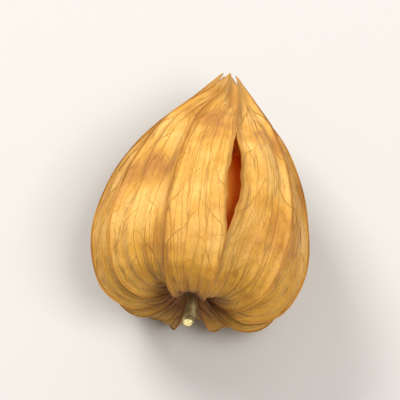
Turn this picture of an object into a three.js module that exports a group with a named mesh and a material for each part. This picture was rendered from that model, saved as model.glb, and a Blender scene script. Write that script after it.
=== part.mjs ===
// A ripe physalis berry in its dry papery husk, with the stub of stem that it was cut with.
// It lies on its side on a table: the stem end faces -Y, the tip faces +Y and leans a little to +X.
// Millimetres, +Z up. The origin is on the table, under the middle of the whole fruit.
import * as THREE from "three";

const { degToRad, lerp, smoothstep } = THREE.MathUtils;

// Driving dimensions of the husk.
const huskLength = 37;
const huskHalfWidth = 15.3;
const wallDepth = 0.75; // across the paper, measured square to the plain outline
const axisHeight = 14.1; // over the table: less than the half width, so the husk rests on a flattened spot
const axisLean = degToRad(9); // from +Y towards +X

// Driving dimensions of the berry and of the stem.
const berryRadius = 10;
const berryFlattening = 0.96; // its height along its own axis, as a share of its width
const berryReach = 10.35; // from the seat's middle to the berry's middle
const berryDroop = degToRad(6);
const stemRadius = 0.74;
const stemCutAngle = degToRad(14); // the snip that took the fruit off the plant wasn't square

// Ten ribs run from the stem to the tip, with a face of paper between each two. Angles are measured
// round the husk's axis, from straight up towards +X. A rib is a sepal's midrib or a suture, where
// two sepals meet.
const ribCount = 10;
const firstRibAngle = degToRad(18); // so a face, not a rib, lies on the table
const isSuture = (rib) => rib % 2 === 0;
const ribRise = 0.45;
const sutureSink = 0.35; // sutures stand out less than midribs
const ribFoot = 0.07; // half of a rib's width, as a share of a face's width
const mostSwing = degToRad(3); // of a rib, away from an even spacing
const mostWander = degToRad(2.5); // of a rib, to and fro along the husk
const wanderTurn = 5.5; // radians of that to and fro from ring to tip
const tipTwist = degToRad(26);
const notchDepth = 0.06; // between the five teeth of the tip, as a share of the outline

// The paper between the ribs. A sag starts, is deepest and ends at shares of the husk's length. A full
// face sags less, by the given shares of its fullness.
const shoulderSag = 0.9;
const shoulderSpan = [0.03, 0.24, 0.5];
const shoulderFilling = 0.5;
const bodySag = 0.62;
const bodySpan = [0.2, 0.5, 0.92];
const bodyFilling = 0.6;
const tipSag = 0.5;
const tipSpan = [0.6, 0.86, 1];
const leastFullness = -0.35;
const mostFullness = 0.75;
const crumpleDepth = 0.42;
const crumpleAtRibs = 0.35; // the rest of the crumpling fades in towards the middle of a face
const dentCount = 10;
const mostDentTurn = 15; // radians of a dent's waves from ring to tip
const veinRise = 0.3;

// One suture has come open over the berry.
const slitRib = 0;
const slitWidth = 2.2;
const slitStart = 0.44;
const slitEnd = 0.74;
const lipLift = 0.4;
const lipWidth = 0.16; // of the lifted strip, as a share of a face's width

// Facets.
const rows = 32;
const columns = [0, ribFoot, 0.21, 0.355, 0.5, 0.645, 0.79, 1 - ribFoot, 1];
const middleColumn = 4;
const rowsBetweenVeins = 4;

// The same husk grows every time.
function seededRandom(seed) {
  let state = seed;
  return () => {
    state = (state * 16807) % 2147483647;
    return state / 2147483647;
  };
}
const random = seededRandom(27);
const between = (low, high) => low + (high - low) * random();

// Half of the husk's plain outline: from the ring round the stem, over the shoulder, to the tip.
// Each point is a share of the half width and a share of the length.
const outline = new THREE.SplineCurve(
  [
    [0.108, 0.095],
    [0.28, 0.045],
    [0.55, 0.006],
    [0.85, 0.066],
    [1.0, 0.215],
    [0.995, 0.365],
    [0.865, 0.555],
    [0.615, 0.735],
    [0.29, 0.88],
    [0.07, 1.0],
  ].map(([across, along]) => new THREE.Vector2(across * huskHalfWidth, along * huskLength)),
);

const ribs = Array.from({ length: ribCount }, (_, index) => ({
  angle: firstRibAngle + (index * 2 * Math.PI) / ribCount,
  swing: between(-mostSwing, mostSwing),
  wander: between(-mostWander, mostWander),
}));
const faceFullness = ribs.map(() => between(leastFullness, mostFullness));
const dents = Array.from({ length: dentCount }, (_, index) => ({
  around: index + 1,
  along: between(-mostDentTurn, mostDentTurn),
  phase: between(0, 2 * Math.PI),
  depth: crumpleDepth / Math.sqrt(index + 1),
}));

// A hump that rises from zero at start to one and is back at zero at end.
function hump(value, start, peak, end) {
  return smoothstep(value, start, peak) * (1 - smoothstep(value, peak, end));
}

function slitHalfWidth(share) {
  if (share <= slitStart || share >= slitEnd) return 0;
  return (slitWidth / 2) * Math.sin((Math.PI * (share - slitStart)) / (slitEnd - slitStart));
}

// Where a rib runs. Where the slit splits it, side +1 is the lip that the next face starts from.
function ribAngle(index, share, side) {
  const rib = ribs[index % ribCount];
  const fromRing = smoothstep(share, 0, 0.16);
  const turns = index >= ribCount ? 2 * Math.PI : 0;
  const slit = index % ribCount === slitRib ? slitHalfWidth(share) / outline.getPoint(share).x : 0;
  return (
    turns +
    rib.angle +
    fromRing * (rib.swing + rib.wander * Math.sin(wanderTurn * share)) +
    tipTwist * smoothstep(share, 0.76, 1) +
    side * slit
  );
}

// How far the paper stands off the plain outline, veins and ribs left out.
function paperRelief(face, share, across, angle) {
  const midFace = 4 * across * (1 - across);
  const suture = isSuture(face) ? 1 - across : across;
  const fromRing = smoothstep(share, 0, 0.12) * (1 - smoothstep(share, 0.88, 1));
  const sag =
    shoulderSag * (1 - shoulderFilling * faceFullness[face]) * hump(share, ...shoulderSpan) +
    (bodySag - bodyFilling * faceFullness[face]) * hump(share, ...bodySpan) +
    tipSag * hump(share, ...tipSpan);
  const crumple = dents.reduce(
    (sum, dent) => sum + dent.depth * Math.sin(dent.around * angle + dent.along * share + dent.phase),
    0,
  );
  const crumpling = lerp(crumpleAtRibs, 1, midFace) * crumple;
  return fromRing * (crumpling - sutureSink * suture ** 2) - midFace * sag;
}

// The lips of the slit curl outwards.
function lipRelief(face, share, across) {
  const distance = face === slitRib ? across : face === (slitRib + ribCount - 1) % ribCount ? 1 - across : 1;
  const openness = (2 * slitHalfWidth(share)) / slitWidth;
  return lipLift * openness * Math.max(0, 1 - distance / lipWidth) ** 2;
}

// The raised net at a corner of the facets: ribs, a vein up the middle of each face, side veins that
// leave the ribs and climb to meet it, and links from side vein to side vein.
function veinRelief(row, column) {
  const last = columns.length - 1;
  if (column === 0 || column === last) return ribRise;
  if (column === 1 || column === last - 1) return 0;
  if (column === middleColumn) return veinRise;
  const isLeft = column < middleColumn;
  const climb = isLeft ? column : last - column;
  const level = row - climb + (isLeft ? 0 : rowsBetweenVeins / 2);
  const cell = Math.floor(level / rowsBetweenVeins);
  const isSideVein = level % rowsBetweenVeins === 0;
  const isLink = climb === (cell % 2 === 0 ? 2 : 3) && !isSideVein;
  return isSideVein || isLink ? veinRise : 0;
}

// From the husk's own frame, with its axis along +Y, to the table.
const lay = new THREE.Matrix4()
  .makeTranslation(0, 0, axisHeight)
  .multiply(new THREE.Matrix4().makeRotationZ(-axisLean));

// A corner of the husk's outer or inner side.
function huskCorner(face, row, column, isInner) {
  const across = columns[column];
  const suture = isSuture(face) ? 1 - across : across;
  const step = row / rows;
  const share = step * (1 - notchDepth * suture * smoothstep(step, 0.7, 1));
  const angle = lerp(ribAngle(face, share, 1), ribAngle(face + 1, share, -1), across);

  const plain = outline.getPoint(share);
  const tangent = outline.getTangent(share);
  const fade = smoothstep(share, 0.02, 0.14) * (1 - smoothstep(share, 0.86, 0.98));
  const relief = paperRelief(face, share, across, angle) + lipRelief(face, share, across);
  const rise = isInner ? relief - wallDepth : relief + fade * veinRelief(row, column);
  const radius = plain.x + rise * tangent.y;
  const along = plain.y - rise * tangent.x;

  const corner = new THREE.Vector3(radius * Math.sin(angle), along, radius * Math.cos(angle));
  corner.applyMatrix4(lay);
  corner.z = Math.max(corner.z, isInner ? wallDepth : 0);
  return corner;
}

// A quad as two triangles. A rising one is split from its first to its third corner.
function pushQuad(triangles, corners, isRising) {
  const [a, b, c, d] = corners;
  const order = isRising ? [a, b, c, a, c, d] : [a, b, d, b, c, d];
  order.forEach((corner) => triangles.push(corner.x, corner.y, corner.z));
}

function geometryOf(triangles) {
  const geometry = new THREE.BufferGeometry();
  geometry.setAttribute("position", new THREE.Float32BufferAttribute(triangles, 3));
  geometry.computeVertexNormals();
  return geometry;
}

// The husk is one closed shell: outer side, inner side, and the edges at the ring, the tip and the slit.
// Both sides are split alike, so the thin wall keeps its thickness everywhere.
function makeHusk() {
  const triangles = [];
  const last = columns.length - 1;
  const outer = (face, row, column) => huskCorner(face, row, column, false);
  const inner = (face, row, column) => huskCorner(face, row, column, true);
  const isOpen = (row) => slitHalfWidth(row / rows) > 0 || slitHalfWidth((row + 1) / rows) > 0;

  for (let face = 0; face < ribCount; face++) {
    for (let column = 0; column < last; column++) {
      const isRising = column < middleColumn;
      for (let row = 0; row < rows; row++) {
        const quad = (side) => [
          side(face, row, column),
          side(face, row, column + 1),
          side(face, row + 1, column + 1),
          side(face, row + 1, column),
        ];
        pushQuad(triangles, quad(outer), isRising);
        const [a, b, c, d] = quad(inner);
        pushQuad(triangles, [b, a, d, c], !isRising);
      }
      const ring = [inner(face, 0, column), inner(face, 0, column + 1)];
      pushQuad(triangles, [...ring, outer(face, 0, column + 1), outer(face, 0, column)], true);
      const tip = [outer(face, rows, column), outer(face, rows, column + 1)];
      pushQuad(triangles, [...tip, inner(face, rows, column + 1), inner(face, rows, column)], true);
    }
  }

  const faceBefore = (slitRib + ribCount - 1) % ribCount;
  for (let row = 0; row < rows; row++) {
    if (!isOpen(row)) continue;
    const nearLip = [outer(faceBefore, row, last), inner(faceBefore, row, last)];
    const nearLipAbove = [inner(faceBefore, row + 1, last), outer(faceBefore, row + 1, last)];
    pushQuad(triangles, [...nearLip, ...nearLipAbove], true);
    const farLip = [inner(slitRib, row, 0), outer(slitRib, row, 0)];
    const farLipAbove = [outer(slitRib, row + 1, 0), inner(slitRib, row + 1, 0)];
    pushQuad(triangles, [...farLip, ...farLipAbove], true);
  }
  return geometryOf(triangles);
}

// The stem swells into the seat that the berry grows on, passes through the husk's ring and bends up.
// Each station is a place along the stem's path, from the seat to the cut, with its radius.
const seatAlong = 5.35;
const stemPath = new THREE.CatmullRomCurve3([
  new THREE.Vector3(0, seatAlong + 0.45, 0),
  new THREE.Vector3(0, seatAlong - 2, 0),
  new THREE.Vector3(0, 1, 0.5),
  new THREE.Vector3(0.05, -0.9, 1.8),
  new THREE.Vector3(0.1, -2.3, 3.7),
]);
const stemStations = [
  [0, 1.9],
  [0.02, 2.25],
  [0.045, 2.2],
  [0.075, 1.65],
  [0.11, 1.36],
  [0.16, 1.3],
  [0.22, 1.26],
  [0.27, 1.06],
  [0.33, stemRadius * 1.12],
  [0.4, stemRadius],
  [0.5, stemRadius],
  [0.6, stemRadius * 1.03],
  [0.7, stemRadius * 1.02],
  [0.8, stemRadius * 1.06],
  [0.9, stemRadius * 1.1],
  [1, stemRadius * 1.12],
];
const stemSides = 15;
const stemRidges = 5;
const ridgeRise = 0.07; // of the stem's ridges, as a share of its radius

function makeStem() {
  const rings = stemStations.map(([share, radius], index) => {
    const middle = stemPath.getPoint(share);
    const forward = stemPath.getTangent(share);
    const right = new THREE.Vector3(1, 0, 0);
    const up = new THREE.Vector3().crossVectors(forward, right).normalize();
    right.crossVectors(up, forward);
    const slope = index === stemStations.length - 1 ? Math.tan(stemCutAngle) : 0;
    return Array.from({ length: stemSides }, (_, side) => {
      const angle = (side * 2 * Math.PI) / stemSides;
      const reach = radius * (1 + ridgeRise * Math.cos(stemRidges * angle));
      return middle
        .clone()
        .addScaledVector(right, reach * Math.cos(angle))
        .addScaledVector(up, reach * Math.sin(angle))
        .addScaledVector(forward, reach * Math.sin(angle) * slope);
    });
  });

  const triangles = [];
  const push = (...corners) => corners.forEach(({ x, y, z }) => triangles.push(x, y, z));
  for (let side = 0; side < stemSides; side++) {
    const next = (side + 1) % stemSides;
    rings.slice(1).forEach((ring, index) => {
      const before = rings[index];
      pushQuad(triangles, [before[side], before[next], ring[next], ring[side]], true);
    });
    push(stemPath.getPoint(0), rings[0][next], rings[0][side]);
    push(stemPath.getPoint(1), rings.at(-1)[side], rings.at(-1)[next]);
  }
  return geometryOf(triangles).applyMatrix4(lay);
}

// A glossy globe, a little flat, which has sunk from the husk's axis towards the table.
function makeBerry() {
  return new THREE.SphereGeometry(berryRadius, 28, 18)
    .scale(1, berryFlattening, 1)
    .translate(0, berryReach, 0)
    .rotateX(-berryDroop)
    .translate(0, seatAlong, 0)
    .applyMatrix4(lay);
}

function makePiece(name, geometry, color, roughness) {
  const piece = new THREE.Mesh(geometry, new THREE.MeshStandardMaterial({ color, roughness, metalness: 0 }));
  piece.name = name;
  return piece;
}

const fruit = new THREE.Group();
fruit.add(
  makePiece("husk", makeHusk(), "#dba448", 0.75),
  makePiece("berry", makeBerry(), "#e27a12", 0.25),
  makePiece("stem", makeStem(), "#8d7a50", 0.8),
);

// The origin goes under the middle of the box round the three pieces.
const middle = new THREE.Box3().setFromObject(fruit).getCenter(new THREE.Vector3());
fruit.children.forEach((piece) => piece.geometry.translate(-middle.x, -middle.y, 0));

export default fruit;
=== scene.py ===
"""A physalis berry in its dry husk: the looks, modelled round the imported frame."""

import math
import random
import bpy
from bpy.props import FloatProperty, FloatVectorProperty, IntProperty, PointerProperty
from bpy.types import Operator, Panel, PropertyGroup
from mathutils import Matrix, Vector


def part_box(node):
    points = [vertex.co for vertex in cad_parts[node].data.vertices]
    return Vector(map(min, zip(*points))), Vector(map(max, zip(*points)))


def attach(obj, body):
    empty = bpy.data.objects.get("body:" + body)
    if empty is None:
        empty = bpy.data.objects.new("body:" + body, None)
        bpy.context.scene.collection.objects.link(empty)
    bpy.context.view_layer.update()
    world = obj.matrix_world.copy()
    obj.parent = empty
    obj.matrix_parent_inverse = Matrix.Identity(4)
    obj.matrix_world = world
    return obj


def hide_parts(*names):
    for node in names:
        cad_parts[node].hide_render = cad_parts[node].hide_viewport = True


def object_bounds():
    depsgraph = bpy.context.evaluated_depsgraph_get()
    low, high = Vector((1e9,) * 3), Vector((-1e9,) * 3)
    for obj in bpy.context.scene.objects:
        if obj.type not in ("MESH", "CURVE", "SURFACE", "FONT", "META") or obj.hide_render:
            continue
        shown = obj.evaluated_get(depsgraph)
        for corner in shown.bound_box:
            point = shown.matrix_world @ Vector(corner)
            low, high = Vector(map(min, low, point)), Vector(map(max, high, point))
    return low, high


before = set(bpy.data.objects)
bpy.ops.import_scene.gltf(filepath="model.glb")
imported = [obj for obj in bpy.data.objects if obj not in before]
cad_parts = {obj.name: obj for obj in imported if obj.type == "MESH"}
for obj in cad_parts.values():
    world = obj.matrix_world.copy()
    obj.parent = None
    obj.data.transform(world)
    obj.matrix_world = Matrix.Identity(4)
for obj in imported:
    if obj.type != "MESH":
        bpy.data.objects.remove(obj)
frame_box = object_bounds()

bl_info = {
    "name": "Physalis Berry",
    "version": (1, 0, 0),
    "blender": (4, 5, 0),
    "location": "3D View > Sidebar > Physalis",
    "description": "Models a ripe physalis berry in its dry, veined husk",
    "category": "Object",
}

MM = 0.001


# The husk's form, in millimetres and radians, as the frame's own husk has it

HUSK_LENGTH = 37
HUSK_HALF_WIDTH = 15.3
AXIS_LEAN = math.radians(9)
BERRY_RADIUS = 10
BERRY_FLATNESS = 0.96
BERRY_REACH = 10.35
BERRY_DROOP = math.radians(6)
SEAT_ALONG = 5.35
RING_ALONG = 3.5

RIB_COUNT = 10
FIRST_RIB_ANGLE = math.radians(18)
RIB_RISE = 0.45
SUTURE_SINK = 0.35
TIP_TWIST = math.radians(26)
TWIST_START = 0.76
NOTCH_DEPTH = 0.06
NOTCH_START = 0.7
MOST_SWING = math.radians(3)
MOST_WANDER = math.radians(2.5)
WANDER_TURN = 5.5
OWN_WAY_FROM = 0.16
RELIEF_SPAN = (0.12, 0.88)
SHOULDER_SAG = 0.9
SHOULDER_SPAN = (0.03, 0.24, 0.5)
SHOULDER_FILLING = 0.5
BODY_SAG = 0.62
BODY_SPAN = (0.2, 0.5, 0.92)
BODY_FILLING = 0.6
TIP_SAG = 0.5
TIP_SPAN = (0.6, 0.86, 1)
LEAST_FULLNESS = -0.35
MOST_FULLNESS = 0.75
CRUMPLE_DEPTH = 0.42
CRUMPLE_AT_RIBS = 0.35
DENT_COUNT = 10
MOST_DENT_TURN = 15

SLIT_RIB = 0
SLIT_WIDTH = 2.2
SLIT_START = 0.44
SLIT_END = 0.74
LIP_LIFT = 0.4
LIP_WIDTH = 0.16

OUTLINE = [
    (across * HUSK_HALF_WIDTH, along * HUSK_LENGTH)
    for across, along in [
        (0.108, 0.095),
        (0.28, 0.045),
        (0.55, 0.006),
        (0.85, 0.066),
        (1.0, 0.215),
        (0.995, 0.365),
        (0.865, 0.555),
        (0.615, 0.735),
        (0.29, 0.88),
        (0.07, 1.0),
    ]
]

# Finer relief, in millimetres: a rib's narrow crest, the puckers beside it and the pleats of a face

FINE_START = (0.02, 0.14)
FINE_END = (0.86, 0.98)
RIB_HALF_WIDTH = 0.34
PUCKER_DEPTH = 0.13
PUCKERS_START = 0.5
PUCKERS_FADE = 1.6
PUCKER_TURN = 95
PLEAT_DEPTH = 0.62
PLEATS_PER_FACE = 3.3
PLEAT_CREST = 0.6
PLEAT_SHIFT = 0.37
PLEAT_ROUNDNESS = 0.7
TIP_PLEATS = 0.45
TIP_PLEAT_SPAN = (0.55, 0.84, 1)

# The sheet of paper laid flat, in round millimetres: about the belly, and from the ring to the tip

PAPER_ROUND = 90
PAPER_RUN = 50

# Cords and veins. HEIGHT is over the paper, in millimetres, and SPAN and START are shares of the way to
# the tip. A lane is a place across a face, its end, and its thickness in side veins. Side veins, links
# and twigs are placed by rows of the frame's husk, and a TAPER is their first and last thickness.

CORD_SPAN = (0.03, 0.985)
CORD_LINKS = 130
CORD_HEIGHT = 0.03
LIP_NUDGE = 0.0005

LANES = [(0.5, 0.94, 1.2), (0.27, 0.8, 0.8), (0.74, 0.76, 0.8)]
LANE_START = 0.1
LANE_LINKS = 89

ROWS_IN_FRAME = 32
ROWS_BETWEEN_VEINS = 4
VEIN_ROWS = range(2, 27, 2)
VEIN_HEIGHT = 0.035
VEIN_LINKS_PER_ROW = 4
VEIN_TAPER = (1, 0.5)
CLIMB = [0, 0.07, 0.21, 0.355, 0.5]

LAST_LINK_ROW = 29
LINK_STEPS = 10
LINK_HEIGHT = 0.015
LINK_TAPER = (0.65, 0.5)

TWIG_STEPS = 7
TWIG_HEIGHT = 0.012
TWIG_TAPER = (0.55, 0.3)
TWIG_SPREAD = 0.055
TWIG_CLIMB = 0.8
TWIG_HEADINGS = (0.3, 1.5)
TWIG_LENGTHS = (1.4, 3.2)

# The stem, in millimetres in the husk's own frame

STEM_PATH = [
    (0, SEAT_ALONG + 0.45, 0),
    (0, SEAT_ALONG - 2, 0),
    (0, 1, 0.5),
    (0.05, -0.9, 1.8),
    (0.1, -2.3, 3.7),
]
STEM_SIDES = 40
STEM_RINGS = 64
STEM_AHEAD = 0.01
STEM_RIDGES = 5
RIDGE_RISE = 0.07
FINE_RIDGES = 11
FINE_RISE = 0.02
FINE_TWIST = 9
CUT_ANGLE = math.radians(14)
CUT_START = 0.985
PITH_RADIUS = 0.66
PITH_SHAPE = (1, 1.05, 0.2, 1)

# Points closer to each other than this, in millimetres, are one

WELD = 0.001


def seeded_random(seed):
    """Numbers from 0 to 1 in the order in which the frame's husk drew them."""
    state = seed
    while True:
        state = (state * 16807) % 2147483647
        yield state / 2147483647


draws = seeded_random(27)


def between(low, high):
    return low + (high - low) * next(draws)


RIBS = [
    {
        "angle": FIRST_RIB_ANGLE + index * 2 * math.pi / RIB_COUNT,
        "swing": between(-MOST_SWING, MOST_SWING),
        "wander": between(-MOST_WANDER, MOST_WANDER),
    }
    for index in range(RIB_COUNT)
]
FACE_FULLNESS = [between(LEAST_FULLNESS, MOST_FULLNESS) for _ in range(RIB_COUNT)]
DENTS = [
    {
        "around": index + 1,
        "along": between(-MOST_DENT_TURN, MOST_DENT_TURN),
        "phase": between(0, 2 * math.pi),
        "depth": CRUMPLE_DEPTH / math.sqrt(index + 1),
    }
    for index in range(DENT_COUNT)
]


def smoothstep(value, low, high):
    t = min(max((value - low) / (high - low), 0), 1)
    return t * t * (3 - 2 * t)


def hump(value, start, peak, end):
    return smoothstep(value, start, peak) * (1 - smoothstep(value, peak, end))


def waves(place, *sizes_turns_phases):
    """Uneven, as grown things are: a few waves, each with its size, its turn and its phase."""
    return sum(size * math.sin(turn * place + phase) for size, turn, phase in sizes_turns_phases)


def interpolate(stops, value):
    for (low, start), (high, end) in zip(stops, stops[1:]):
        if value <= high:
            return start + (end - start) * (value - low) / (high - low)
    return stops[-1][1]


def outline(share):
    """The husk's plain outline at a share along it: distance from the axis, and along it."""
    place = min(max(share, 0), 1) * (len(OUTLINE) - 1)
    start = min(int(place), len(OUTLINE) - 2)
    t = place - start
    before = OUTLINE[max(start - 1, 0)]
    low, high = OUTLINE[start], OUTLINE[start + 1]
    after = OUTLINE[min(start + 2, len(OUTLINE) - 1)]
    point = []
    for a, b, c, d in zip(before, low, high, after):
        leave, arrive = (c - a) / 2, (d - b) / 2
        cubic = (2 * b - 2 * c + leave + arrive) * t**3
        square = (-3 * b + 3 * c - 2 * leave - arrive) * t**2
        point.append(cubic + square + leave * t + b)
    return point


def outline_direction(share):
    step = 0.0001
    near, far = outline(max(share - step, 0)), outline(min(share + step, 1))
    run, rise = far[0] - near[0], far[1] - near[1]
    length = math.hypot(run, rise)
    return run / length, rise / length


def slit_half_width(share):
    if share <= SLIT_START or share >= SLIT_END:
        return 0
    return SLIT_WIDTH / 2 * math.sin(math.pi * (share - SLIT_START) / (SLIT_END - SLIT_START))


def rib_angle(index, share, side):
    """Where a rib runs. The slit splits its rib and is torn, not cut. side +1 is the lip that the next
    face starts from."""
    rib = RIBS[index % RIB_COUNT]
    slit = 0
    if index % RIB_COUNT == SLIT_RIB:
        torn = 1 + waves(share, (0.1, 67, side), (0.06, 148, 2 * side))
        slit = torn * slit_half_width(share) / outline(share)[0]
    turns = 2 * math.pi if index >= RIB_COUNT else 0
    own_way = rib["swing"] + rib["wander"] * math.sin(WANDER_TURN * share)
    twist = TIP_TWIST * smoothstep(share, TWIST_START, 1)
    own_way *= smoothstep(share, 0, OWN_WAY_FROM)
    return turns + rib["angle"] + own_way + twist + side * slit


def from_suture(face, across):
    """1 on the face's suture, 0 on its midrib: sutures and midribs take turns."""
    return 1 - across if face % 2 == 0 else across


def paper_relief(face, share, across, angle):
    """How far the paper stands off the plain outline, ribs left out."""
    mid_face = 4 * across * (1 - across)
    full_from, full_to = RELIEF_SPAN
    fade = smoothstep(share, 0, full_from) * (1 - smoothstep(share, full_to, 1))
    sag = (
        SHOULDER_SAG * (1 - SHOULDER_FILLING * FACE_FULLNESS[face]) * hump(share, *SHOULDER_SPAN)
        + (BODY_SAG - BODY_FILLING * FACE_FULLNESS[face]) * hump(share, *BODY_SPAN)
        + TIP_SAG * hump(share, *TIP_SPAN)
    )
    crumple = sum(
        dent["depth"] * math.sin(dent["around"] * angle + dent["along"] * share + dent["phase"])
        for dent in DENTS
    )
    crumpling = (CRUMPLE_AT_RIBS + (1 - CRUMPLE_AT_RIBS) * mid_face) * crumple
    return fade * (crumpling - SUTURE_SINK * from_suture(face, across) ** 2) - mid_face * sag


def from_slit(face, across):
    """Distance from the slit's rib, as a share of a face, or 1 on a face that doesn't touch it."""
    if face == SLIT_RIB:
        return across
    if face == (SLIT_RIB - 1) % RIB_COUNT:
        return 1 - across
    return 1


def lip_relief(face, share, across):
    """The lips of the slit curl outwards."""
    openness = 2 * slit_half_width(share) / SLIT_WIDTH
    return LIP_LIFT * openness * max(0, 1 - from_slit(face, across) / LIP_WIDTH) ** 2


def fine_relief(face, share, across, width):
    """Relief that the frame's facets are too coarse for: narrow ribs, the puckers along them, and the
    pleats that the dry paper falls into from the shoulder up. width is the face's own."""
    from_rib = min(across, 1 - across) * width
    fade = smoothstep(share, *FINE_START) * (1 - smoothstep(share, *FINE_END))
    rib = RIB_RISE * math.exp(-((from_rib / RIB_HALF_WIDTH) ** 2))
    by_rib = math.exp(-from_rib / PUCKERS_FADE) * (1 - math.exp(-from_rib / PUCKERS_START))
    puckers = PUCKER_DEPTH * waves(share, (1, PUCKER_TURN, waves(share, (2.2, 17, 0)))) * by_rib
    sway = waves(share, (0.32, 6.1, 1.9 * face), (0.07, 19, 2.3 * face))
    fold = abs(math.sin(math.pi * (PLEATS_PER_FACE * across + sway + PLEAT_SHIFT * face)))
    pleats = PLEAT_DEPTH * (PLEAT_CREST - fold) * (4 * across * (1 - across)) ** PLEAT_ROUNDNESS
    body_end = 0.66 + 0.1 * math.sin(2.7 * face)
    reach = hump(share, 0.1, 0.3, body_end) + TIP_PLEATS * hump(share, *TIP_PLEAT_SPAN)
    return fade * (rib + puckers + pleats * reach)


def berry_middle():
    low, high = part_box("berry")
    return (Vector(low) + Vector(high)) / 2 / MM


def lay_matrix():
    """From the husk's own frame, with its axis along +Y, to the row frame, in millimetres."""
    turn = Matrix.Rotation(-AXIS_LEAN, 4, "Z")
    sunk = Vector((0, math.cos(BERRY_DROOP), -math.sin(BERRY_DROOP))) * BERRY_REACH
    own_middle = turn @ (Vector((0, SEAT_ALONG, 0)) + sunk)
    return Matrix.Translation(berry_middle() - own_middle) @ turn


LAY = lay_matrix()


def husk_place(around, step, lift=0.0):
    """A place on the husk's outside, in metres, at a count of faces from the slit and a step from the
    ring, 0, to the tip, 1. lift is a height over the paper, in millimetres. The underside is flattened
    on the table, at z 0."""
    face = min(int(around), RIB_COUNT - 1)
    across = around - face
    share = step * (1 - NOTCH_DEPTH * from_suture(face, across) * smoothstep(step, NOTCH_START, 1))
    start, end = rib_angle(face, share, 1), rib_angle(face + 1, share, -1)
    angle = start + (end - start) * across
    radius, along = outline(share)
    run, climb = outline_direction(share)
    rise = paper_relief(face, share, across, angle) + lip_relief(face, share, across)
    rise += fine_relief(face, share, across, (end - start) * radius) + lift
    radius += rise * climb
    along -= rise * run
    place = LAY @ Vector((radius * math.sin(angle), along, radius * math.cos(angle)))
    place.z = max(place.z, 0)
    return place * MM


# The maker's settings


def linear(hex_colour):
    """The linear colour of an sRGB hex value, with an alpha of 1."""
    channels = [int(hex_colour[i : i + 2], 16) / 255 for i in (1, 3, 5)]
    return [c / 12.92 if c <= 0.04045 else ((c + 0.055) / 1.055) ** 2.4 for c in channels] + [1.0]


def colour_setting(name, description, hex_colour):
    return FloatVectorProperty(
        name=name, description=description, default=linear(hex_colour), subtype="COLOR", size=4
    )


def fine_length(name, description, millimetres):
    return FloatProperty(
        name=name, description=description, default=millimetres * MM, unit="LENGTH", precision=5
    )


class HuskSettings(PropertyGroup):
    columns: IntProperty(
        name="Columns", description="Quads across one face of the paper", default=26, min=4
    )
    rows: IntProperty(name="Rows", description="Quads from the ring to the tip", default=146, min=20)
    paper: fine_length("Paper", "Thickness of the dry paper", 0.22)
    straw: colour_setting("Straw", "Sunlit, bleached paper", "#f3c872")
    gold: colour_setting("Gold", "Most of the paper", "#e2ae4c")
    ochre: colour_setting("Ochre", "Yellower paper towards the stem", "#d6a22e")
    # Browned paper in patches, stains, the tip and veinlets, and also the painted shade beside the ribs
    amber: colour_setting("Amber", "Paper that has browned", "#bd8337")
    # Painted shade, not the paper's own colour: it darkens the dimple round the stem and the creases
    painted_shade: colour_setting("Umber", "The dimple round the stem", "#8a4d1a")
    glow: colour_setting("Glow", "Tint of the light that comes through the paper", "#ffd98c")


class VeinSettings(PropertyGroup):
    rib_width: fine_length("Rib", "Width of a rib's cord", 0.29)
    side_width: fine_length("Side vein", "Width of a side vein", 0.14)
    rib_dark: colour_setting("Dark rib", "Darkest stretches of a rib's cord", "#84561f")
    rib_pale: colour_setting("Pale rib", "Palest stretches of a rib's cord", "#b98233")
    vein_dark: colour_setting("Dark vein", "Darkest stretches of a vein", "#96692f")
    vein_pale: colour_setting("Pale vein", "Palest stretches of a vein", "#d09d45")
    # Painted shade on the cords and veins in the dimple round the stem
    dimple_shade: colour_setting("Dimple", "Cords and veins in the dimple", "#5e3212")


class BerrySettings(PropertyGroup):
    skin: colour_setting("Skin", "Ripe skin", "#ffb64a")
    blush: colour_setting("Blush", "Deeper patches of the skin", "#ff9c30")


class StemSettings(PropertyGroup):
    radius: fine_length("Radius", "Half of the free stem's thickness", 0.74)
    bark: colour_setting("Skin", "Dry olive skin", "#8d7a50")
    groove: colour_setting("Grooves", "Between the skin's fibres", "#5f5230")
    crest: colour_setting("Crests", "On the skin's fibres", "#b5a571")
    # Painted shade on the stem where it enters the husk's ring
    dimple_shade: colour_setting("Dimple", "Skin at the husk's ring", "#6e4a26")
    pith: colour_setting("Pith", "The pale cut", "#ecdfa6")
    pores: colour_setting("Pores", "Pores in the cut", "#cdb978")


class StudioSettings(PropertyGroup):
    floor: colour_setting("Floor", "Pale matt floor", "#bab7b2")
    elevation: FloatProperty(
        name="Elevation",
        description="The camera looks down on the fruit from this height over its stem end",
        default=math.radians(72),
        subtype="ANGLE",
    )
    distance: FloatProperty(
        name="Distance", description="Camera to fruit", default=0.42, unit="LENGTH"
    )
    lens: FloatProperty(name="Lens", description="Focal length in millimetres", default=260)
    light: FloatProperty(name="Room light", description="Strength of the light all round", default=0.46)


# Small helpers


def start_afresh():
    """Nothing is selected, so an operator acts only on what is added next."""
    if bpy.context.object and bpy.context.object.mode != "OBJECT":
        bpy.ops.object.mode_set(mode="OBJECT")
    bpy.ops.object.select_all(action="DESELECT")


def choose(piece):
    start_afresh()
    piece.select_set(True)
    bpy.context.view_layer.objects.active = piece


def finish_piece(piece, name, material, node):
    piece.name = name
    piece.data.name = name
    piece.data.materials.clear()
    piece.data.materials.append(material)
    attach(piece, "root")
    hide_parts(node)


def new_material(name):
    material = bpy.data.materials.new(name)
    material.use_nodes = True
    material.node_tree.nodes.clear()
    return material, material.node_tree


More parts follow.
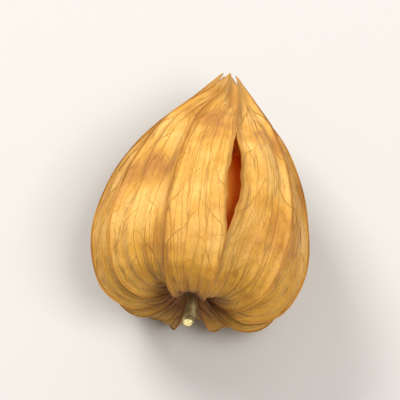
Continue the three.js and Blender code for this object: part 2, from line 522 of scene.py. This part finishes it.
def add_node(tree, kind, inputs=None, stops=(), **settings):
    """Adds a node. An input is given a plain value or the output that feeds it, and stops are the
    places and colours of a ramp."""
    node = tree.nodes.new(kind)
    for key, value in settings.items():
        setattr(node, key, value)
    for key, value in (inputs or {}).items():
        if isinstance(value, bpy.types.NodeSocket):
            tree.links.new(value, node.inputs[key])
        else:
            node.inputs[key].default_value = value
    for index, (place, colour) in enumerate(stops):
        elements = node.color_ramp.elements
        element = elements[index] if index < len(elements) else elements.new(place)
        element.position = place
        element.color = colour
    return node


def nearness_to_ring(tree, place, full, none, added=0.0):
    """1 within full of the ring round the stem, falling to 0 at none. added goes on to the distance."""
    ring = LAY @ Vector((0, RING_ALONG, 0)) * MM
    reach = add_node(tree, "ShaderNodeVectorMath", {0: place, 1: ring}, operation="DISTANCE")
    ragged = add_node(tree, "ShaderNodeMath", {0: reach.outputs["Value"], 1: added}, operation="ADD")
    return add_node(
        tree,
        "ShaderNodeMapRange",
        {"Value": ragged.outputs[0], "From Min": full, "From Max": none, "To Min": 1.0, "To Max": 0.0},
        interpolation_type="SMOOTHSTEP",
    ).outputs[0]


# Dry paper. Each pattern is 0 to 1, and its scale is 1 over the size of one fibre, crease, cell or patch.


def paper_fibres(tree, flat):
    """Fibres 4.5 mm long and 0.38 mm across, which is coarser than real ones, so that they show."""
    grain = add_node(tree, "ShaderNodeMapping", {"Vector": flat, "Scale": (1 / 0.38, 1 / 4.5, 1)})
    streaks = {"Vector": grain.outputs[0], "Scale": 1.0, "Detail": 4, "Roughness": 0.6}
    return add_node(tree, "ShaderNodeTexNoise", streaks).outputs["Fac"]


def paper_creases(tree, flat):
    """Thin creases along the paper, about 2.4 mm apart and 33 mm long, where slow noise crosses its
    middle. Shade is painted into them, besides their sinking in the bump."""
    lengthwise = add_node(tree, "ShaderNodeMapping", {"Vector": flat, "Scale": (1 / 2.4, 1 / 33, 1)})
    slow = {"Vector": lengthwise.outputs[0], "Scale": 1.0, "Detail": 2, "Roughness": 0.5}
    folds = add_node(tree, "ShaderNodeTexNoise", slow).outputs["Fac"]
    beside = add_node(tree, "ShaderNodeMath", {0: folds, 1: 0.5}, operation="SUBTRACT")
    apart = add_node(tree, "ShaderNodeMath", {0: beside.outputs[0]}, operation="ABSOLUTE")
    return add_node(
        tree,
        "ShaderNodeMapRange",
        {"Value": apart.outputs[0], "From Min": 0.0, "From Max": 0.016, "To Min": 1.0, "To Max": 0.0},
        interpolation_type="SMOOTHSTEP",
    ).outputs[0]


def paper_veinlets(tree, flat):
    """The finest veins: the edges of bent cells of about 0.9 by 1.6 mm."""
    cell_size = {"Vector": flat, "Scale": (1 / 0.9, 1 / 1.6, 1)}
    cells = add_node(tree, "ShaderNodeMapping", cell_size).outputs[0]
    wobble = add_node(tree, "ShaderNodeTexNoise", {"Vector": cells, "Scale": 1.3, "Detail": 2})
    bent = add_node(tree, "ShaderNodeVectorMath", {0: cells, 1: wobble.outputs["Color"]}, operation="ADD")
    edges = add_node(
        tree,
        "ShaderNodeTexVoronoi",
        {"Vector": bent.outputs[0], "Scale": 1.0, "Randomness": 0.9},
        feature="DISTANCE_TO_EDGE",
    ).outputs["Distance"]
    return add_node(
        tree,
        "ShaderNodeMapRange",
        {"Value": edges, "From Min": 0.0, "From Max": 0.085, "To Min": 1.0, "To Max": 0.0},
        interpolation_type="SMOOTHSTEP",
    ).outputs[0]


def paper_beside_ribs(tree, around):
    """1 on a rib, 0 at 7% of a face's width from it: where shade is painted beside the ribs."""
    faces = {0: around, 1: float(RIB_COUNT), 2: 0.5}
    count = add_node(tree, "ShaderNodeMath", faces, operation="MULTIPLY_ADD")
    across = add_node(tree, "ShaderNodeMath", {0: count.outputs[0]}, operation="FRACT")
    beside = add_node(tree, "ShaderNodeMath", {0: across.outputs[0], 1: 0.5}, operation="SUBTRACT")
    apart = add_node(tree, "ShaderNodeMath", {0: beside.outputs[0]}, operation="ABSOLUTE")
    return add_node(
        tree,
        "ShaderNodeMapRange",
        {"Value": apart.outputs[0], "From Min": 0.0, "From Max": 0.07, "To Min": 1.0, "To Max": 0.0},
        interpolation_type="SMOOTHSTEP",
    ).outputs[0]


def paper_patterns(tree):
    """Every pattern of the paper. Patches are 9 mm wide and clouds of stain 3.8 mm."""
    place = add_node(tree, "ShaderNodeTexCoord").outputs["Object"]
    uv = add_node(tree, "ShaderNodeUVMap", uv_map="paper").outputs["UV"]
    around, step = add_node(tree, "ShaderNodeSeparateXYZ", {0: uv}).outputs[:2]
    sheet = {"Vector": uv, "Scale": (PAPER_ROUND, PAPER_RUN, 1)}
    flat = add_node(tree, "ShaderNodeMapping", sheet).outputs[0]
    fibres = paper_fibres(tree, flat)
    wide = {"Vector": place, "Scale": 1 / (9 * MM), "Detail": 3, "Roughness": 0.55}
    patches = add_node(tree, "ShaderNodeTexNoise", wide).outputs["Fac"]
    small = {"Vector": place, "Scale": 1 / (3.8 * MM), "Detail": 4, "Roughness": 0.6}
    clouds = add_node(tree, "ShaderNodeTexNoise", small).outputs["Fac"]
    stained = {"Value": clouds, "From Min": 0.58, "From Max": 0.72}
    near_tip = {"Value": step, "From Min": 0.84, "From Max": 1.0}
    near_stem = {"Value": step, "From Min": 0.28, "From Max": 0.52, "To Min": 1.0, "To Max": 0.0}
    shoulder = add_node(tree, "ShaderNodeMapRange", near_stem, interpolation_type="SMOOTHSTEP")
    ragged = add_node(tree, "ShaderNodeMath", {0: fibres, 1: 7 * MM}, operation="MULTIPLY").outputs[0]
    return {
        "patches": patches,
        "fibres": fibres,
        "shoulder": shoulder.outputs[0],
        "stains": add_node(tree, "ShaderNodeMapRange", stained).outputs[0],
        # Mask of the painted shade in the dimple round the stem, its edge ragged by the fibres
        "dimple": nearness_to_ring(tree, place, 7 * MM, 14 * MM, ragged),
        "tip": add_node(tree, "ShaderNodeMapRange", near_tip).outputs[0],
        # Mask of the painted shade beside the ribs
        "ribs": paper_beside_ribs(tree, around),
        "veinlets": paper_veinlets(tree, flat),
        # Mask of the creases: they sink in the bump, and shade is painted into them
        "creases": paper_creases(tree, flat),
    }


def paper_colour(tree, settings, patterns):
    """Patches of bleached, golden and browned paper, with a tint for each further pattern on top. The
    tints in the dimple, beside the ribs and in the creases are painted shade.
    """
    colour = add_node(
        tree,
        "ShaderNodeValToRGB",
        {"Fac": patterns["patches"]},
        stops=[(0.34, settings.amber), (0.46, settings.gold), (0.6, settings.straw)],
    ).outputs["Color"]
    for pattern, share, tint, blend in [
        ("fibres", 0.55, settings.straw, "SOFT_LIGHT"),
        ("shoulder", 0.55, settings.ochre, "MIX"),
        ("stains", 0.55, settings.amber, "MIX"),
        # Painted shade: the dimple round the stem is darkened
        ("dimple", 0.9, settings.painted_shade, "MIX"),
        ("tip", 0.55, settings.amber, "MIX"),
        # Painted shade: the paper is darkened beside each rib
        ("ribs", 0.45, settings.amber, "MIX"),
        ("veinlets", 0.22, settings.amber, "MIX"),
        # Painted shade: the creases are darkened
        ("creases", 0.45, settings.painted_shade, "MIX"),
    ]:
        amount = add_node(tree, "ShaderNodeMath", {0: patterns[pattern], 1: share}, operation="MULTIPLY")
        layers = {0: amount.outputs[0], 6: colour, 7: tint}
        colour = add_node(tree, "ShaderNodeMix", layers, data_type="RGBA", blend_type=blend).outputs[2]
    return colour


def paper_bump(tree, patterns):
    """Creases sink in, fibres and veinlets stand out, by about a tenth of a millimetre."""
    height = 0.0
    for pattern, rise in [("creases", -0.8), ("fibres", 1.4), ("veinlets", 0.5)]:
        relief = {0: patterns[pattern], 1: rise, 2: height}
        height = add_node(tree, "ShaderNodeMath", relief, operation="MULTIPLY_ADD").outputs[0]
    depth = {"Height": height, "Strength": 0.55, "Distance": 0.12 * MM}
    return add_node(tree, "ShaderNodeBump", depth).outputs[0]


def make_husk_paper(settings):
    """Dry calyx: dead plant tissue like thin parchment. It is matt with a faint waxy sheen, lets a warm
    light through, and shows a fine mesh of veinlets."""
    material, tree = new_material("dry calyx paper")
    patterns = paper_patterns(tree)
    colour = paper_colour(tree, settings, patterns)
    bump = paper_bump(tree, patterns)
    paper = add_node(
        tree,
        "ShaderNodeBsdfPrincipled",
        {
            "Base Color": colour,
            "Roughness": 0.52,
            "IOR": 1.5,
            "Specular IOR Level": 0.42,
            "Sheen Weight": 0.12,
            "Normal": bump,
        },
    )
    tinted = {0: 1.0, 6: colour, 7: settings.glow}
    glow = add_node(tree, "ShaderNodeMix", tinted, data_type="RGBA", blend_type="MULTIPLY").outputs[2]
    through = add_node(tree, "ShaderNodeBsdfTranslucent", {"Color": glow, "Normal": bump})
    thin = {0: 0.38, 1: paper.outputs[0], 2: through.outputs[0]}
    both = add_node(tree, "ShaderNodeMixShader", thin)
    add_node(tree, "ShaderNodeOutputMaterial", {"Surface": both.outputs[0]})
    return material


# The other materials


def make_vein_cord(name, dark, pale, dimple_shade):
    """Dry vein: a woody strand in the paper, a little darker and duller than the paper round it. It
    darkens and fades again every 8 mm or so, and shade is painted on it in the dimple, in dark brown."""
    material, tree = new_material(name)
    place = add_node(tree, "ShaderNodeTexCoord").outputs["Object"]
    noise = add_node(tree, "ShaderNodeTexNoise", {"Vector": place, "Scale": 1 / (7.7 * MM), "Detail": 2})
    strand = add_node(
        tree, "ShaderNodeValToRGB", {"Fac": noise.outputs["Fac"]}, stops=[(0.36, dark), (0.64, pale)]
    )
    # Painted shade: the strand is darkened in the dimple round the stem
    dimple = nearness_to_ring(tree, place, 3.5 * MM, 9.5 * MM)
    layers = {0: dimple, 6: strand.outputs["Color"], 7: dimple_shade}
    colour = add_node(tree, "ShaderNodeMix", layers, data_type="RGBA").outputs[2]
    cord = add_node(
        tree,
        "ShaderNodeBsdfPrincipled",
        {"Base Color": colour, "Roughness": 0.75, "IOR": 1.5, "Specular IOR Level": 0.2},
    )
    add_node(tree, "ShaderNodeOutputMaterial", {"Surface": cord.outputs[0]})
    return material


def make_berry_skin(settings):
    """Ripe physalis skin: smooth, taut and waxy over juicy flesh, so it is glossy and glows orange.
    Its patches are about 11 mm wide."""
    material, tree = new_material("ripe physalis skin")
    place = add_node(tree, "ShaderNodeTexCoord").outputs["Object"]
    noise = add_node(tree, "ShaderNodeTexNoise", {"Vector": place, "Scale": 1 / (11 * MM), "Detail": 2})
    patches = add_node(
        tree,
        "ShaderNodeValToRGB",
        {"Fac": noise.outputs["Fac"]},
        stops=[(0.35, settings.blush), (0.62, settings.skin)],
    )
    skin = add_node(
        tree,
        "ShaderNodeBsdfPrincipled",
        {
            "Base Color": patches.outputs["Color"],
            "Roughness": 0.24,
            "IOR": 1.45,
            "Subsurface Weight": 0.3,
            "Subsurface Scale": 1.6 * MM,
            "Subsurface Radius": (1.0, 0.35, 0.08),
            "Coat Weight": 0.3,
            "Coat Roughness": 0.12,
        },
    )
    add_node(tree, "ShaderNodeOutputMaterial", {"Surface": skin.outputs[0]})
    return material


def make_stem_bark(settings):
    """Drying pedicel: green skin gone olive and grey-brown, dull, with fibres 0.9 mm across and 6.7 mm
    long. Shade is painted on it, darker, where it enters the husk's ring."""
    material, tree = new_material("drying pedicel skin")
    place = add_node(tree, "ShaderNodeTexCoord").outputs["Object"]
    across, along = 1 / (0.9 * MM), 1 / (6.7 * MM)
    grain = add_node(tree, "ShaderNodeMapping", {"Vector": place, "Scale": (across, along, across)})
    streaks = {"Vector": grain.outputs[0], "Scale": 1.0, "Detail": 4}
    fibres = add_node(tree, "ShaderNodeTexNoise", streaks).outputs["Fac"]
    skin = add_node(
        tree,
        "ShaderNodeValToRGB",
        {"Fac": fibres},
        stops=[(0.32, settings.groove), (0.5, settings.bark), (0.7, settings.crest)],
    )
    # Painted shade: the skin is darkened where it enters the dimple round the stem
    dimple = nearness_to_ring(tree, place, 1.2 * MM, 3.4 * MM)
    layers = {0: dimple, 6: skin.outputs["Color"], 7: settings.dimple_shade}
    colour = add_node(tree, "ShaderNodeMix", layers, data_type="RGBA").outputs[2]
    bump = add_node(tree, "ShaderNodeBump", {"Height": fibres, "Strength": 0.6, "Distance": 0.1 * MM})
    bark = add_node(
        tree,
        "ShaderNodeBsdfPrincipled",
        {"Base Color": colour, "Roughness": 0.6, "IOR": 1.45, "Normal": bump.outputs[0]},
    )
    add_node(tree, "ShaderNodeOutputMaterial", {"Surface": bark.outputs[0]})
    return material


def make_pith(settings):
    """Cut pith: pale, spongy and quite matt. Its pores are drawn 0.4 mm wide, coarser than real ones, so
    that they show."""
    material, tree = new_material("pale cut pith")
    place = add_node(tree, "ShaderNodeTexCoord").outputs["Object"]
    noise = add_node(tree, "ShaderNodeTexNoise", {"Vector": place, "Scale": 1 / (0.4 * MM), "Detail": 2})
    pores = add_node(
        tree,
        "ShaderNodeValToRGB",
        {"Fac": noise.outputs["Fac"]},
        stops=[(0.35, settings.pores), (0.6, settings.pith)],
    )
    pith = add_node(
        tree,
        "ShaderNodeBsdfPrincipled",
        {"Base Color": pores.outputs["Color"], "Roughness": 0.85, "IOR": 1.4},
    )
    add_node(tree, "ShaderNodeOutputMaterial", {"Surface": pith.outputs[0]})
    return material


def make_floor_card(settings):
    """Studio card: pale and matt."""
    material, tree = new_material("pale studio card")
    card = add_node(tree, "ShaderNodeBsdfPrincipled", {"Base Color": settings.floor, "Roughness": 0.8})
    add_node(tree, "ShaderNodeOutputMaterial", {"Surface": card.outputs[0]})
    return material


# The husk


def spread_columns(place):
    """Columns stand closer together at the ribs, where the paper bends most."""
    face = min(int(place), RIB_COUNT - 1)
    across = place - face
    return face + across - 0.5 * math.sin(2 * math.pi * across) / (2 * math.pi)


class PHYSALIS_OT_husk(Operator):
    """Models the dry papery husk as one thin sheet from the ring round the stem to the tip"""

    bl_idname = "physalis.husk"
    bl_label = "Husk"

    def execute(self, context):
        settings = context.scene.physalis_husk
        columns = settings.columns * RIB_COUNT
        start_afresh()
        bpy.ops.mesh.primitive_grid_add(x_subdivisions=columns, y_subdivisions=settings.rows, size=2)
        husk = context.object
        mesh = husk.data
        grid = [((v.co.x + 1) / 2, (v.co.y + 1) / 2) for v in mesh.vertices]
        places = [(spread_columns(x * RIB_COUNT), y) for x, y in grid]
        for vertex, (around, step) in zip(mesh.vertices, places):
            vertex.co = husk_place(around, step)
        paper = mesh.uv_layers.active
        paper.name = "paper"
        for loop in mesh.loops:
            around, step = places[loop.vertex_index]
            paper.data[loop.index].uv = (around / RIB_COUNT, step)

        bpy.ops.object.mode_set(mode="EDIT")
        bpy.ops.mesh.select_all(action="SELECT")
        bpy.ops.mesh.remove_doubles(threshold=WELD * MM)
        bpy.ops.mesh.normals_make_consistent(inside=False)
        bpy.ops.object.mode_set(mode="OBJECT")
        wall = husk.modifiers.new("paper", "SOLIDIFY")
        wall.thickness = settings.paper
        wall.offset = -1
        bpy.ops.object.modifier_apply(modifier=wall.name)
        bpy.ops.object.shade_smooth()
        finish_piece(husk, "husk_paper", make_husk_paper(settings), "husk")
        return {"FINISHED"}


# The cords of the ribs and the net of veins


def strands_object(name):
    curve = bpy.data.curves.new(name, "CURVE")
    curve.dimensions = "3D"
    curve.bevel_depth = 1
    curve.bevel_resolution = 1
    curve.use_fill_caps = True
    strands = bpy.data.objects.new(name, curve)
    bpy.context.collection.objects.link(strands)
    return strands


def add_strand(curve, places, widths):
    """A strand through places with a width at each, in metres. It never dips below the table."""
    strand = curve.splines.new("POLY")
    strand.points.add(len(places) - 1)
    for point, place, width in zip(strand.points, places, widths):
        point.co = (place.x, place.y, max(place.z, width / 2), 1)
        point.radius = width / 2


def strands_to_mesh(strands):
    choose(strands)
    bpy.ops.object.convert(target="MESH")
    bpy.ops.object.shade_smooth()
    return bpy.context.object


def tapered(count, width, start, end):
    """Widths for a strand that starts and ends at these shares of the full width."""
    return [width * (start + (end - start) * index / (count - 1)) for index in range(count)]


def rib_fullness(index, step):
    """A rib's cord is thickest mid-way and uneven, as a dried stalk is."""
    uneven = waves(step, (0.16, 23, 2.1 * index), (0.1, 57, 1.3 * index))
    return 0.55 + 0.35 * math.sin(math.pi * step) + uneven


def add_rib_cord(curve, index, width):
    """The cord on a rib, or on each lip of the slit."""
    start, end = CORD_SPAN
    steps = [start + (end - start) * link / CORD_LINKS for link in range(CORD_LINKS + 1)]
    for nudge in [LIP_NUDGE, -LIP_NUDGE] if index == SLIT_RIB else [0]:
        around = (index + nudge) % RIB_COUNT
        places = [husk_place(around, step, CORD_HEIGHT) for step in steps]
        add_strand(curve, places, [width * rib_fullness(index, step) for step in steps])


def add_lanes(curve, growth, face, width):
    """Three veins that run up a face between its ribs."""
    for lane, top, thickness in LANES:
        lane += growth.uniform(-0.04, 0.04)
        phase = growth.uniform(0, 6)
        places = []
        for link in range(LANE_LINKS + 1):
            step = LANE_START + (top - LANE_START) * link / LANE_LINKS
            sway = waves(step, (0.03, 12, phase), (0.01, 39, 2 * phase))
            places.append(husk_place(face + lane + sway, step, CORD_HEIGHT))
        add_strand(curve, places, tapered(len(places), width * thickness, *VEIN_TAPER))


def beside_rib(face, across, is_left):
    """A count of faces from the slit, for a place across a face from its left or right rib."""
    return face + (across if is_left else 1 - across)


def add_side_vein(curve, growth, face, start_row, is_left, width):
    """A vein that leaves a rib at a row of the frame's husk and climbs to mid-face."""
    drift, row_phase, side_phase = growth.uniform(0.15, 0.45), growth.uniform(0, 6), growth.uniform(0, 6)
    places = []
    for link in range(VEIN_LINKS_PER_ROW * (len(CLIMB) - 1) + 1):
        climbed = link / VEIN_LINKS_PER_ROW
        across = interpolate(list(enumerate(CLIMB)), climbed) + waves(climbed, (0.012, 4, side_phase))
        row = start_row + climbed + waves(climbed, (drift, 1.7, row_phase))
        step = min(max(row / ROWS_IN_FRAME, 0), 1)
        around = beside_rib(face, min(max(across, 0), 0.5), is_left)
        places.append(husk_place(around, step, VEIN_HEIGHT))
    add_strand(curve, places, tapered(len(places), width, *VEIN_TAPER))


def add_link(curve, growth, face, start_row, is_left, width):
    """A thin vein from one side vein to the next, nearer to the rib and further off by turns."""
    climb = 2 if start_row // ROWS_BETWEEN_VEINS % 2 == 0 else 3
    sway = growth.uniform(-0.04, 0.04)
    places = []
    for link in range(LINK_STEPS + 1):
        row = start_row + climb + ROWS_BETWEEN_VEINS * link / LINK_STEPS
        if row > LAST_LINK_ROW:
            break
        across = CLIMB[climb] + sway * math.sin(math.pi * link / LINK_STEPS)
        places.append(husk_place(beside_rib(face, across, is_left), row / ROWS_IN_FRAME, LINK_HEIGHT))
    if len(places) > 3:
        add_strand(curve, places, tapered(len(places), width, *LINK_TAPER))


def add_twigs(curve, growth, face, start_row, is_left, width):
    """Two thin twigs that fork off and fade out in the paper."""
    for _ in range(2):
        across = growth.uniform(0.08, 0.44)
        row = start_row + growth.uniform(0.5, 3.5)
        heading = growth.uniform(*TWIG_HEADINGS)
        length = growth.uniform(*TWIG_LENGTHS)
        places = []
        for step in range(TWIG_STEPS + 1):
            along = length * step / TWIG_STEPS
            twig_across = across + TWIG_SPREAD * along * math.cos(heading) + waves(along, (0.008, 5, 0))
            twig_row = row + TWIG_CLIMB * along * math.sin(heading + 0.4)
            if not 0.03 < twig_across < 0.97 or not 1 < twig_row < 30:
                break
            around = beside_rib(face, twig_across, is_left)
            places.append(husk_place(around, twig_row / ROWS_IN_FRAME, TWIG_HEIGHT))
        if len(places) > 2:
            add_strand(curve, places, tapered(len(places), width, *TWIG_TAPER))


class PHYSALIS_OT_veins(Operator):
    """Draws the ribs' cords and the net of veins along the paper"""

    bl_idname = "physalis.veins"
    bl_label = "Ribs and veins"

    def execute(self, context):
        settings = context.scene.physalis_veins
        growth = random.Random(5)
        start_afresh()
        ribs = strands_object("ribs")
        for index in range(RIB_COUNT):
            add_rib_cord(ribs.data, index, settings.rib_width)
        ribs = strands_to_mesh(ribs)
        cord = make_vein_cord("dry rib cord", settings.rib_dark, settings.rib_pale, settings.dimple_shade)
        finish_piece(ribs, "rib_cords", cord, "husk")

        net = strands_object("net")
        for face in range(RIB_COUNT):
            add_lanes(net.data, growth, face, settings.side_width)
            for start_row in VEIN_ROWS:
                is_left = start_row % ROWS_BETWEEN_VEINS == 0
                for add_growth in (add_side_vein, add_link, add_twigs):
                    add_growth(net.data, growth, face, start_row, is_left, settings.side_width)
        net = strands_to_mesh(net)
        vein = make_vein_cord("dry vein cord", settings.vein_dark, settings.vein_pale, settings.dimple_shade)
        finish_piece(net, "vein_net", vein, "husk")
        return {"FINISHED"}


# The berry


class PHYSALIS_OT_berry(Operator):
    """Models the ripe berry, a little shorter than it is wide"""

    bl_idname = "physalis.berry"
    bl_label = "Berry"

    def execute(self, context):
        settings = context.scene.physalis_berry
        start_afresh()
        bpy.ops.mesh.primitive_uv_sphere_add(segments=96, ring_count=48, radius=BERRY_RADIUS * MM)
        berry = context.object
        flatten = Matrix.Diagonal((1, 1, BERRY_FLATNESS, 1))
        turn = Matrix.Rotation(-AXIS_LEAN, 4, "Z") @ Matrix.Rotation(-BERRY_DROOP, 4, "X")
        upright = Matrix.Rotation(-math.pi / 2, 4, "X")
        berry.data.transform(Matrix.Translation(berry_middle() * MM) @ turn @ upright @ flatten)
        bpy.ops.object.shade_smooth()
        finish_piece(berry, "ripe_berry", make_berry_skin(settings), "berry")
        return {"FINISHED"}


# The stem


def stem_profile(radius):
    """Shares of the way to the cut, each with a radius there, in millimetres: the seat in the berry, the
    swelling in the husk's ring, and the free stem, which widens a little to the cut."""
    return [
        (0.0, 0.0),
        (0.001, 1.9),
        (0.02, 2.25),
        (0.045, 2.2),
        (0.075, 1.65),
        (0.13, 1.6),
        (0.19, 1.9),
        (0.24, 1.86),
        (0.29, 1.15),
        (0.34, radius + 0.12),
        (0.4, radius),
        (0.6, radius + 0.02),
        (0.8, radius + 0.045),
        (1.0, radius + 0.09),
    ]


def stem_place(share):
    """A place on the stem's path, in metres, by the same smooth curve as the frame's."""
    points = [Vector(point) for point in STEM_PATH]
    place = share * (len(points) - 1)
    start = min(int(place), len(points) - 2)
    t = place - start
    before = points[start - 1] if start > 0 else points[0] * 2 - points[1]
    after = points[start + 2] if start + 2 < len(points) else points[-1] * 2 - points[-2]
    knots = [before, points[start], points[start + 1], after]
    a, b, c, d = knots
    gaps = [max((far - near).length ** 0.5, 0.0001) for near, far in zip(knots, knots[1:])]
    leave = ((b - a) / gaps[0] - (c - a) / (gaps[0] + gaps[1]) + (c - b) / gaps[1]) * gaps[1]
    arrive = ((c - b) / gaps[1] - (d - b) / (gaps[1] + gaps[2]) + (d - c) / gaps[2]) * gaps[1]
    cubic = (2 * b - 2 * c + leave + arrive) * t**3
    square = (-3 * b + 3 * c - 2 * leave - arrive) * t**2
    return LAY @ (cubic + square + leave * t + b) * MM


class PHYSALIS_OT_stem(Operator):
    """Models the cut stem and the seat that the berry grows on"""

    bl_idname = "physalis.stem"
    bl_label = "Stem"

    def execute(self, context):
        settings = context.scene.physalis_stem
        profile = stem_profile(settings.radius / MM)
        start_afresh()
        bpy.ops.mesh.primitive_grid_add(x_subdivisions=STEM_SIDES, y_subdivisions=STEM_RINGS, size=2)
        stem = context.object
        for vertex in stem.data.vertices:
            angle = (vertex.co.x + 1) * math.pi
            share = (vertex.co.y + 1) / 2
            ahead, behind = min(share + STEM_AHEAD, 1), max(share - STEM_AHEAD, 0)
            forward = (stem_place(ahead) - stem_place(behind)).normalized()
            up = forward.cross(Vector((1, 0, 0))).normalized()
            right = up.cross(forward)
            ridges = RIDGE_RISE * math.cos(STEM_RIDGES * angle)
            ridges += FINE_RISE * math.cos(FINE_RIDGES * angle + FINE_TWIST * share)
            reach = interpolate(profile, share) * (1 + ridges) * MM
            across, over = reach * math.cos(angle), reach * math.sin(angle)
            slant = over * math.tan(CUT_ANGLE) * smoothstep(share, CUT_START, 1)
            vertex.co = stem_place(share) + right * across + up * over + forward * slant
        bpy.ops.object.mode_set(mode="EDIT")
        bpy.ops.mesh.select_all(action="SELECT")
        bpy.ops.mesh.remove_doubles(threshold=WELD * MM)
        bpy.ops.mesh.select_all(action="DESELECT")
        bpy.ops.mesh.select_mode(type="EDGE")
        bpy.ops.mesh.select_non_manifold()
        bpy.ops.mesh.fill()
        bpy.ops.mesh.select_all(action="SELECT")
        bpy.ops.mesh.normals_make_consistent(inside=False)
        bpy.ops.object.mode_set(mode="OBJECT")
        bpy.ops.object.shade_smooth_by_angle(angle=math.radians(50))
        finish_piece(stem, "stem_bark", make_stem_bark(settings), "stem")

        end = stem_place(1)
        forward = (end - stem_place(CUT_START)).normalized()
        start_afresh()
        bpy.ops.mesh.primitive_uv_sphere_add(segments=32, ring_count=12, radius=PITH_RADIUS * MM)
        pith = context.object
        tilt = forward.to_track_quat("Z", "Y").to_matrix().to_4x4()
        pith.data.transform(Matrix.Translation(end) @ tilt @ Matrix.Diagonal(PITH_SHAPE))
        bpy.ops.object.shade_smooth()
        finish_piece(pith, "cut_pith", make_pith(settings), "stem")
        return {"FINISHED"}


# The studio. The strongest light comes from over the tip, so the dimple round the stem lies in shade.

LIGHTS = [
    ("window light", (-0.3, 0.36, 0.5), 0.26, 4.4),
    ("fill light", (0.22, -0.12, 0.62), 0.3, 3.5),
    ("rim light", (0.1, 0.5, 0.12), 0.3, 0.8),
]
ROOM_COLOUR = (1.0, 0.985, 0.96, 1)
FLOOR_SIZE = 3
NEAREST_SEEN = 0.01


class PHYSALIS_OT_studio(Operator):
    """Sets the pale floor, the soft lights and the camera"""

    bl_idname = "physalis.studio"
    bl_label = "Studio"

    def execute(self, context):
        settings = context.scene.physalis_studio
        low, high = (Vector(corner) for corner in frame_box)
        middle = (low + high) / 2

        start_afresh()
        bpy.ops.mesh.primitive_plane_add(size=FLOOR_SIZE)
        floor = context.object
        floor.name = "studio_floor"
        floor.data.materials.append(make_floor_card(settings))

        for name, spot, size, power in LIGHTS:
            bpy.ops.object.light_add(type="AREA", location=spot)
            light = context.object
            light.name = name
            light.data.size = size
            light.data.energy = power
            light.rotation_euler = (middle - Vector(spot)).to_track_quat("-Z", "Y").to_euler()

        world = bpy.data.worlds.new("soft room")
        world.use_nodes = True
        context.scene.world = world
        room = world.node_tree.nodes["Background"]
        room.inputs["Color"].default_value = ROOM_COLOUR
        room.inputs["Strength"].default_value = settings.light
        context.scene.view_settings.view_transform = "Standard"

        reach = Vector((0, -math.cos(settings.elevation), math.sin(settings.elevation)))
        bpy.ops.object.camera_add(location=middle + reach * settings.distance)
        camera = context.object
        camera.rotation_euler = (-reach).to_track_quat("-Z", "Y").to_euler()
        camera.data.lens = settings.lens
        camera.data.clip_start = NEAREST_SEEN
        context.scene.camera = camera
        return {"FINISHED"}


class PHYSALIS_PT_panel(Panel):
    """Lists the pieces and their settings"""

    bl_idname = "PHYSALIS_PT_panel"
    bl_label = "Physalis Berry"
    bl_space_type = "VIEW_3D"
    bl_region_type = "UI"
    bl_category = "Physalis"

    def draw(self, context):
        for maker, group in zip(MAKERS, SETTINGS):
            box = self.layout.box()
            settings = getattr(context.scene, group)
            for key in settings.__annotations__:
                box.prop(settings, key)
            box.operator(maker.bl_idname)


MAKERS = [PHYSALIS_OT_husk, PHYSALIS_OT_veins, PHYSALIS_OT_berry, PHYSALIS_OT_stem, PHYSALIS_OT_studio]
SETTINGS = {
    "physalis_husk": HuskSettings,
    "physalis_veins": VeinSettings,
    "physalis_berry": BerrySettings,
    "physalis_stem": StemSettings,
    "physalis_studio": StudioSettings,
}


def register():
    for group, kind in SETTINGS.items():
        bpy.utils.register_class(kind)
        setattr(bpy.types.Scene, group, PointerProperty(type=kind))
    for maker in MAKERS:
        bpy.utils.register_class(maker)
    bpy.utils.register_class(PHYSALIS_PT_panel)


def unregister():
    bpy.utils.unregister_class(PHYSALIS_PT_panel)
    for maker in reversed(MAKERS):
        bpy.utils.unregister_class(maker)
    for group, kind in SETTINGS.items():
        delattr(bpy.types.Scene, group)
        bpy.utils.unregister_class(kind)


def main():
    register()
    bpy.ops.physalis.husk()
    bpy.ops.physalis.veins()
    bpy.ops.physalis.berry()
    bpy.ops.physalis.stem()
    bpy.ops.physalis.studio()


if __name__ == "__main__":
    main()
